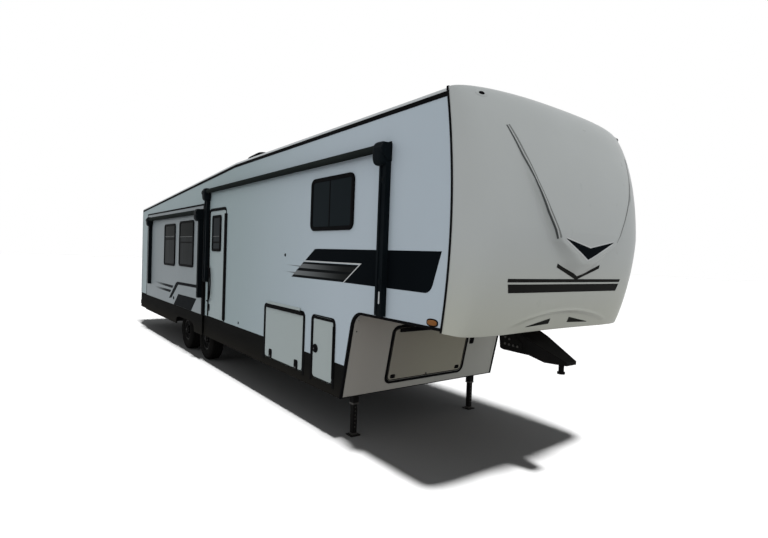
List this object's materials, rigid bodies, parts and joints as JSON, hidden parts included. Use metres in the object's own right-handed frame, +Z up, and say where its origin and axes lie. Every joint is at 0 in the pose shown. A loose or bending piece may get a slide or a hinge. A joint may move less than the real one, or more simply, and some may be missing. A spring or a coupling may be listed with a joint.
{
  "type": "fifth wheel trailer",
  "caption": "Hollow two-axle fifth wheel travel trailer on landing legs, with gooseneck nose, pin box, opening door, baggage hatches and slide-out rooms.",
  "frame": {"origin": "middle of the outline, on the ground that the tyres and landing feet stand on", "axes": "+X to the nose, +Y to the road side, +Z up"},
  "size_m": [12.1032, 2.661, 3.6838],
  "materials": {
    "wall_skin": "satin light silver-grey gelcoat laminate",
    "cap_gelcoat": "gloss off-white gelcoat",
    "skirt": "satin near-black",
    "trim": "matt black",
    "glass": "dark tinted",
    "steel": "satin black paint",
    "tyre": "black rubber",
    "rim": "machined alloy",
    "roof_skin": "matt white membrane",
    "floor": "laminated plywood"
  },
  "bodies": {
    "trailer": {"curb_wall": "wall_skin", "road_wall": "wall_skin", "rear_wall": "wall_skin", "nose_wall": "wall_skin", "nose_cap": "cap_gelcoat", "curb_skirt": "skirt", "road_skirt": "skirt", "rear_skirt": "skirt", "awning": "trim", "air_conditioner": "trim", "vent_cover": "trim", "entry_door_hinge": "trim", "side_hatch_hinge": "trim", "road_hatch_hinge": "trim", "small_hatch_hinge": "trim", "nose_hatch_hinge": "trim", "bed_window": "glass", "road_bed_window": "glass", "rear_window": "glass", "chassis_frame": "steel", "storage_tray": "steel", "front_axle": "steel", "rear_axle": "steel", "curb_leg": "steel", "road_leg": "steel", "pin_box": "steel", "bumper": "steel", "roof": "roof_skin", "main_floor": "floor", "raised_floor": "floor"},
    "curb_room": {"curb_slide_fascia": "wall_skin", "curb_slide_room": "wall_skin", "curb_slide_window_1": "glass", "curb_slide_window_2": "glass", "slide_awning": "trim"},
    "road_room": {"road_slide_fascia": "wall_skin", "road_slide_room": "wall_skin", "road_slide_window_1": "glass"},
    "door": {"entry_door": "wall_skin", "entry_door_window": "glass", "entry_door_handle": "trim"},
    "curb_hatch_leaf": {"side_hatch": "wall_skin"},
    "road_hatch_leaf": {"road_hatch": "wall_skin"},
    "small_hatch_leaf": {"small_hatch": "wall_skin"},
    "nose_hatch_leaf": {"nose_hatch": "wall_skin"},
    "front_curb_wheel": {"front_curb_tyre": "tyre", "front_curb_rim": "rim"},
    "front_road_wheel": {"front_road_tyre": "tyre", "front_road_rim": "rim"},
    "rear_curb_wheel": {"rear_curb_tyre": "tyre", "rear_curb_rim": "rim"},
    "rear_road_wheel": {"rear_road_tyre": "tyre", "rear_road_rim": "rim"}
  },
  "joints": [
    {"name": "door_swing", "type": "hinge", "parent": "trailer", "child": "door", "pos_m": [0.32642, -1.1735, 1.8], "axis": [0, 0, 1], "range_deg": [0, 165]},
    {"name": "curb_hatch_lift", "type": "hinge", "parent": "trailer", "child": "curb_hatch_leaf", "pos_m": [2.50242, -1.1735, 1.343], "axis": [-1, 0, 0], "range_deg": [0, 165]},
    {"name": "road_hatch_lift", "type": "hinge", "parent": "trailer", "child": "road_hatch_leaf", "pos_m": [2.50242, 1.2985, 1.343], "axis": [1, 0, 0], "range_deg": [0, 165]},
    {"name": "small_hatch_swing", "type": "hinge", "parent": "trailer", "child": "small_hatch_leaf", "pos_m": [3.77142, -1.1735, 0.95], "axis": [0, 0, 1], "range_deg": [0, 160]},
    {"name": "nose_hatch_lift", "type": "hinge", "parent": "trailer", "child": "nose_hatch_leaf", "pos_m": [4.11406, 0.0625, 1.24704], "axis": [0, -1, 0], "range_deg": [0, 110]},
    {"name": "curb_room_slide", "type": "slide", "parent": "trailer", "child": "curb_room", "axis": [0, -1, 0], "range_m": [0, 0.8]},
    {"name": "road_room_slide", "type": "slide", "parent": "trailer", "child": "road_room", "axis": [0, 1, 0], "range_m": [0, 0.8]},
    {"name": "front_curb_wheel_spin", "type": "hinge", "parent": "trailer", "child": "front_curb_wheel", "pos_m": [-0.88158, -0.9575, 0.39], "axis": [0, 1, 0], "continuous": true},
    {"name": "front_road_wheel_spin", "type": "hinge", "parent": "trailer", "child": "front_road_wheel", "pos_m": [-0.88158, 1.0825, 0.39], "axis": [0, 1, 0], "continuous": true},
    {"name": "rear_curb_wheel_spin", "type": "hinge", "parent": "trailer", "child": "rear_curb_wheel", "pos_m": [-2.07158, -0.9575, 0.39], "axis": [0, 1, 0], "continuous": true},
    {"name": "rear_road_wheel_spin", "type": "hinge", "parent": "trailer", "child": "rear_road_wheel", "pos_m": [-2.07158, 1.0825, 0.39], "axis": [0, 1, 0], "continuous": true}
  ]
}
